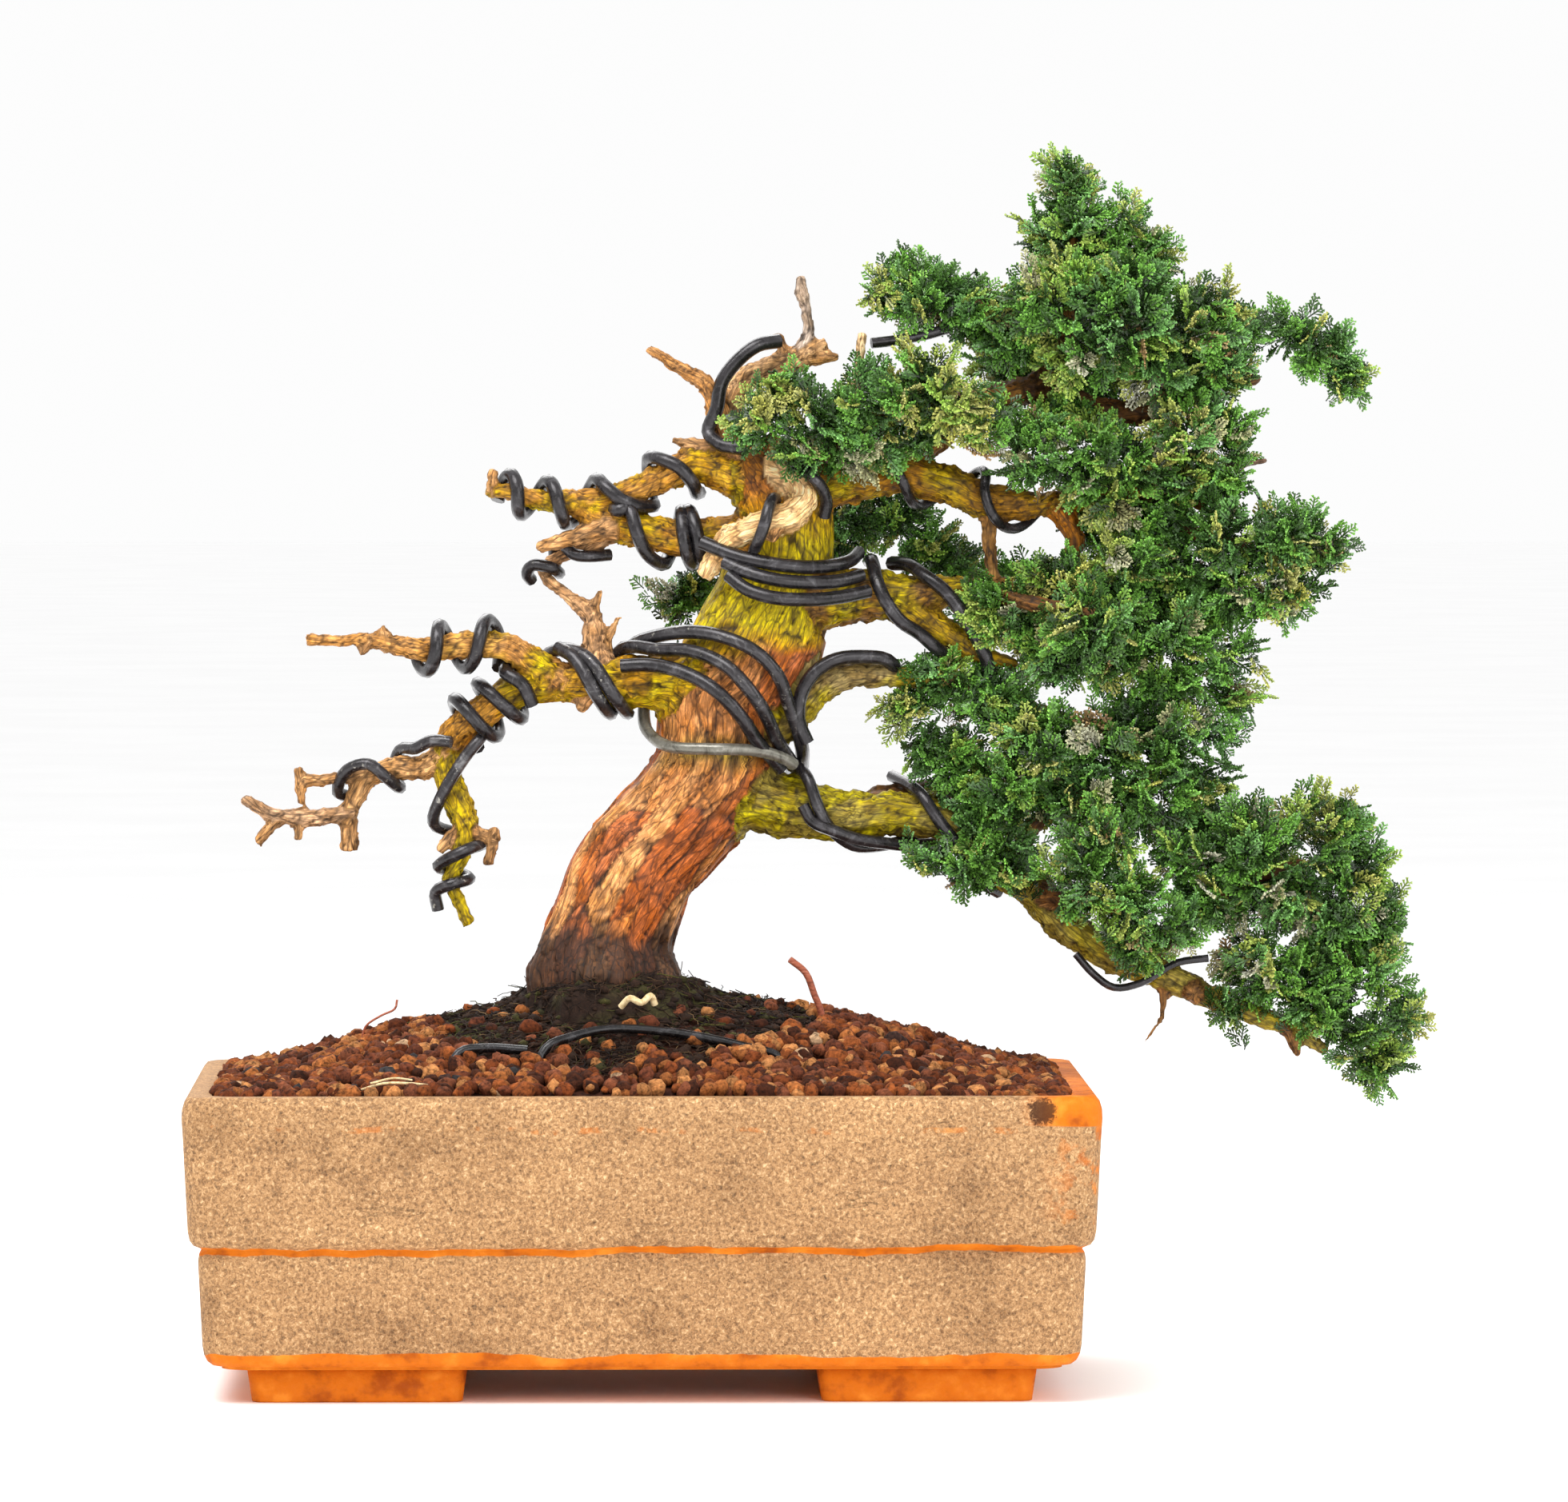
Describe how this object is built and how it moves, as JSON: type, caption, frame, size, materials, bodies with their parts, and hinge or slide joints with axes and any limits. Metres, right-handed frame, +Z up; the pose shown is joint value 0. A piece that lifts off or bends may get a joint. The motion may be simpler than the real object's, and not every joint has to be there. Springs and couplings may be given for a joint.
{
  "type": "potted bonsai conifer",
  "caption": "Windswept dwarf conifer with bare wired branches on one side and scale foliage on the other, in a stepped rectangular clay pot.",
  "frame": {"origin": "middle of the whole tree and pot's footprint, on the surface that the pot stands on", "axes": "+Z up, -Y the front of the pot, +X towards the side that the living branches lean to"},
  "size_m": [0.5514, 0.29, 0.5467],
  "materials": {
    "training_wire": "satin",
    "mesh_plastic": "matte",
    "scale_foliage": "matte",
    "clip_wire": "satin",
    "clay": "matte",
    "fibrous_roots": "matte",
    "clay_granules": "matte",
    "young_root": "matte",
    "bark": "matte",
    "weathered_wire": "matte"
  },
  "bodies": {
    "root": {"anchor_wire_long": "training_wire", "anchor_wire_short": "training_wire", "drain_mesh_left": "mesh_plastic", "drain_mesh_right": "mesh_plastic", "foliage_apex": "scale_foliage", "foliage_back_low": "scale_foliage", "foliage_back_middle": "scale_foliage", "foliage_back_tuft": "scale_foliage", "foliage_centre": "scale_foliage", "foliage_crown_back": "scale_foliage", "foliage_crown_front": "scale_foliage", "foliage_crown_left": "scale_foliage", "foliage_crown_right": "scale_foliage", "foliage_far_right": "scale_foliage", "foliage_inner_left": "scale_foliage", "foliage_left_fans": "scale_foliage", "foliage_left_pad": "scale_foliage", "foliage_lower_front": "scale_foliage", "foliage_lower_middle": "scale_foliage", "foliage_middle_left": "scale_foliage", "foliage_tail_lower": "scale_foliage", "foliage_tail_upper": "scale_foliage", "foliage_under_left": "scale_foliage", "foliage_upper_middle": "scale_foliage", "foliage_upper_right": "scale_foliage", "mesh_clip_left": "clip_wire", "mesh_clip_right": "clip_wire", "pot": "clay", "root_ball": "fibrous_roots", "soil": "clay_granules", "stray_root": "young_root", "trunk_and_branches": "bark", "wire_claw_arm": "training_wire", "wire_crown_tie": "training_wire", "wire_drooping_arm": "training_wire", "wire_fork": "training_wire", "wire_grey_band": "weathered_wire", "wire_high_left": "training_wire", "wire_high_right_a": "training_wire", "wire_high_right_b": "training_wire", "wire_hooked_twig": "training_wire", "wire_left_tip": "training_wire", "wire_loop_arm": "training_wire", "wire_low_right_a": "training_wire", "wire_low_right_b": "training_wire", "wire_low_right_loop": "training_wire", "wire_mid_right": "training_wire", "wire_neck_low": "training_wire", "wire_neck_middle": "training_wire", "wire_neck_top": "training_wire", "wire_peeled_elbow": "training_wire", "wire_peeled_stub": "training_wire", "wire_shoulder_a": "training_wire", "wire_shoulder_b": "training_wire", "wire_tail_loop": "training_wire", "wire_top_jin": "training_wire", "wire_trunk_lower": "training_wire", "wire_trunk_middle": "training_wire", "wire_trunk_upper": "training_wire"}
  },
  "joints": []
}
